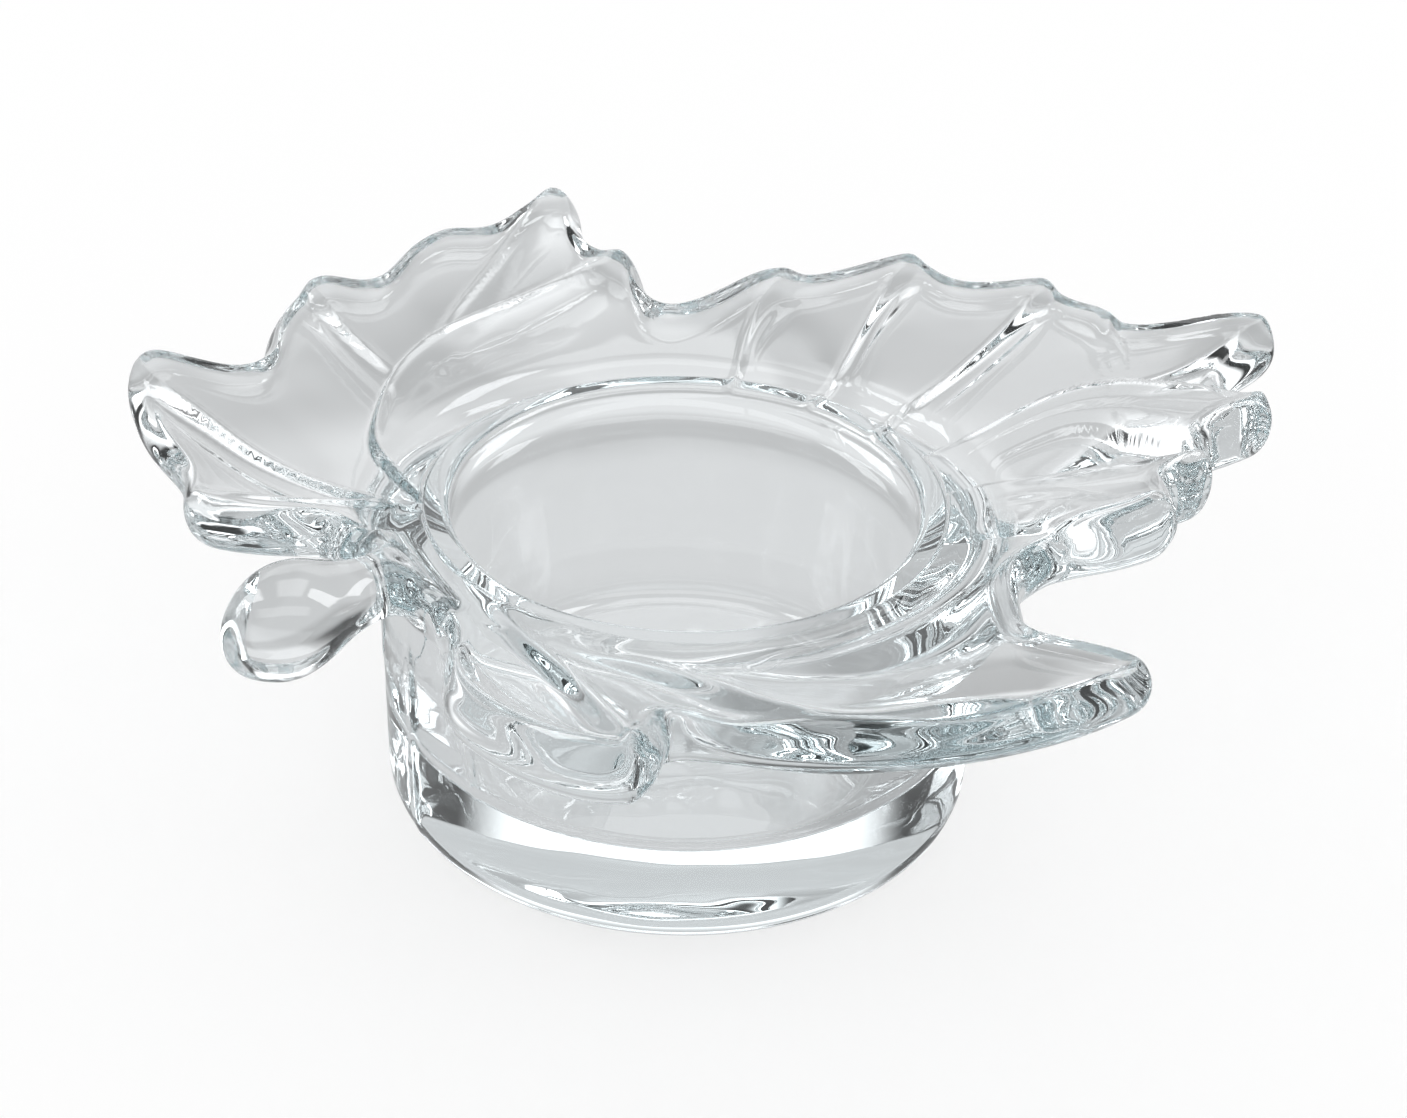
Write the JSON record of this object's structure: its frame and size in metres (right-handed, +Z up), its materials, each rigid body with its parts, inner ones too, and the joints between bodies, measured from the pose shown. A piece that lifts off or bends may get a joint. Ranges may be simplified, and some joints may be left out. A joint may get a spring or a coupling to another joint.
{
  "type": "candle holder",
  "caption": "Clear pressed-glass candle holder: a heavy round cup whose mouth spreads into a lobed, toothed and veined leaf with a short stem.",
  "frame": {"origin": "centre of the flat foot, on the surface that the holder stands on", "axes": "+Z up through the cup, +X from the stem towards the leaf's tip, +Y towards the side lobe that lies to the left of that direction"},
  "size_m": [0.1586, 0.1455, 0.0532],
  "materials": {
    "glass": "clear, fire-polished"
  },
  "bodies": {
    "root": {"base": "glass", "cup": "glass", "leaf": "glass", "stem": "glass"}
  },
  "joints": []
}
